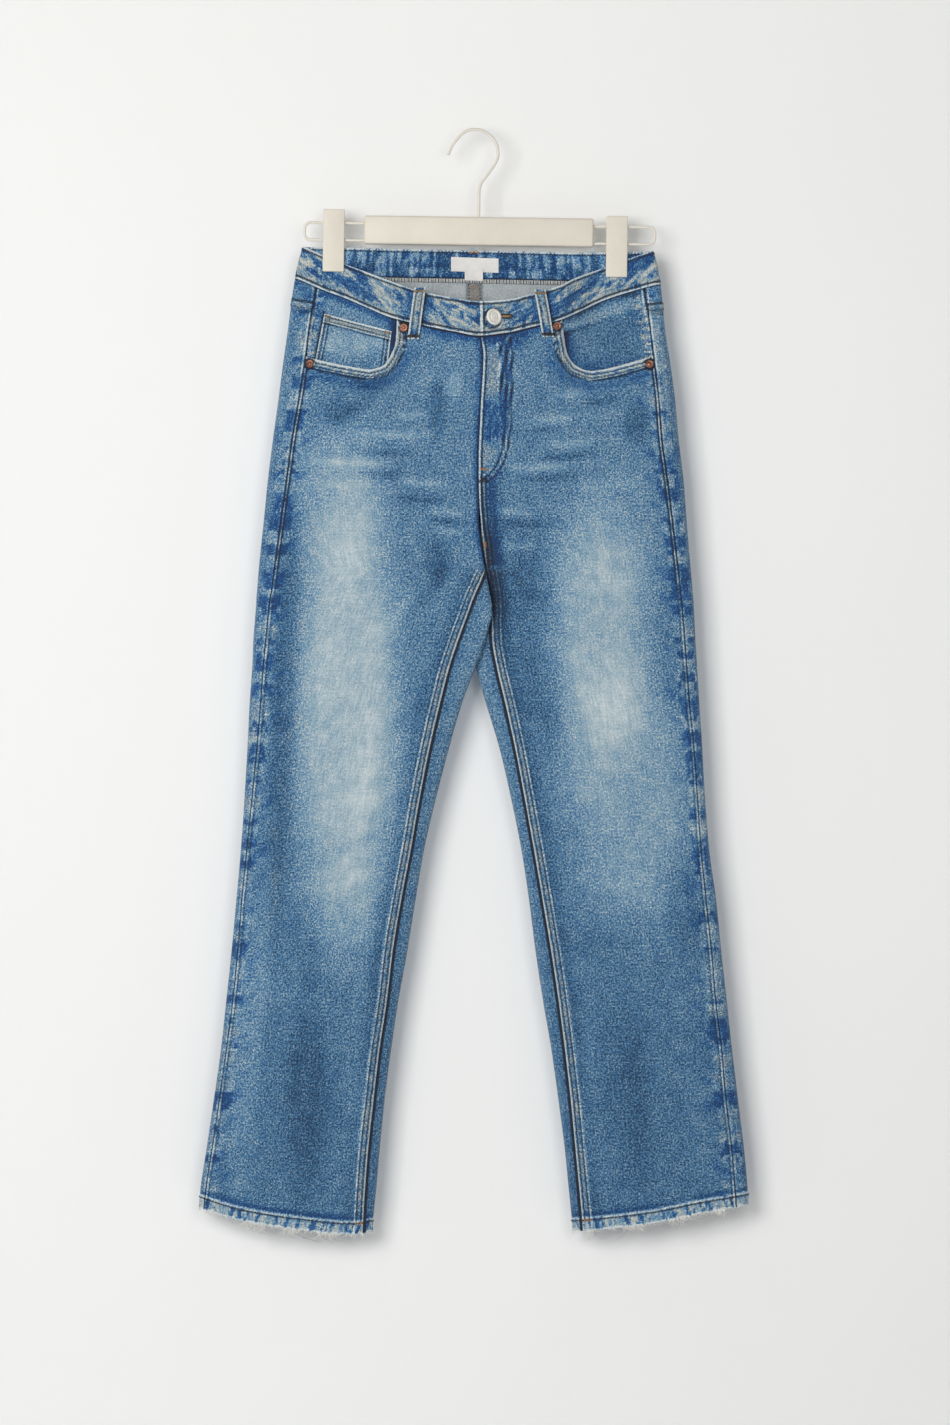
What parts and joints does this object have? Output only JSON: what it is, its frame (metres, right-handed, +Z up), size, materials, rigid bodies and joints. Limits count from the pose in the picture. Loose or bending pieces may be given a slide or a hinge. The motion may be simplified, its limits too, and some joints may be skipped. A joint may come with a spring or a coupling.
{
  "type": "straight cropped jeans on a clip hanger",
  "caption": "High-waisted straight ankle-length denim jeans with five pockets, hanging flat from a clip hanger held by its wire hook.",
  "frame": {"origin": "inside top of the hanger's hook, on the middle of its wire, where a rail or peg carries it", "axes": "+X towards the wearer's left, +Y towards the wall behind the garment, +Z up"},
  "size_m": [0.5504, 0.0526, 1.1076],
  "materials": {
    "denim": "mid-blue stretch denim, washed, faded down both thighs, with pale worn seam edges",
    "zip_tape": "plain woven tape",
    "button_metal": "dull silver shank button with plain rings",
    "rivet_copper": "worn copper",
    "label_white": "white satin weave, bare",
    "hanger_cream": "cream, satin",
    "hanger_wire": "cream powder coat"
  },
  "bodies": {
    "root": {"front_panel_right": "denim", "front_panel_left": "denim", "back_panel_right": "denim", "back_panel_left": "denim", "yoke_right": "denim", "yoke_left": "denim", "waistband_right": "denim", "waistband_left": "denim", "pocket_facing_right": "denim", "pocket_facing_left": "denim", "coin_pocket": "denim", "back_pocket_right": "denim", "back_pocket_left": "denim", "fly_shield": "denim", "zip": "zip_tape", "loop_front_right": "denim", "loop_front_left": "denim", "loop_back_right": "denim", "loop_back_centre": "denim", "loop_back_left": "denim", "button": "button_metal", "rivet_right_inner": "rivet_copper", "rivet_right_outer": "rivet_copper", "rivet_left_inner": "rivet_copper", "rivet_left_outer": "rivet_copper", "waist_label": "label_white", "size_tab": "label_white", "hanger_bar": "hanger_cream", "clip_right_front": "hanger_cream", "clip_right_back": "hanger_cream", "clip_left_front": "hanger_cream", "clip_left_back": "hanger_cream", "hanger_hook": "hanger_wire", "hanger_loop_right": "hanger_wire", "hanger_loop_left": "hanger_wire"}
  },
  "joints": []
}
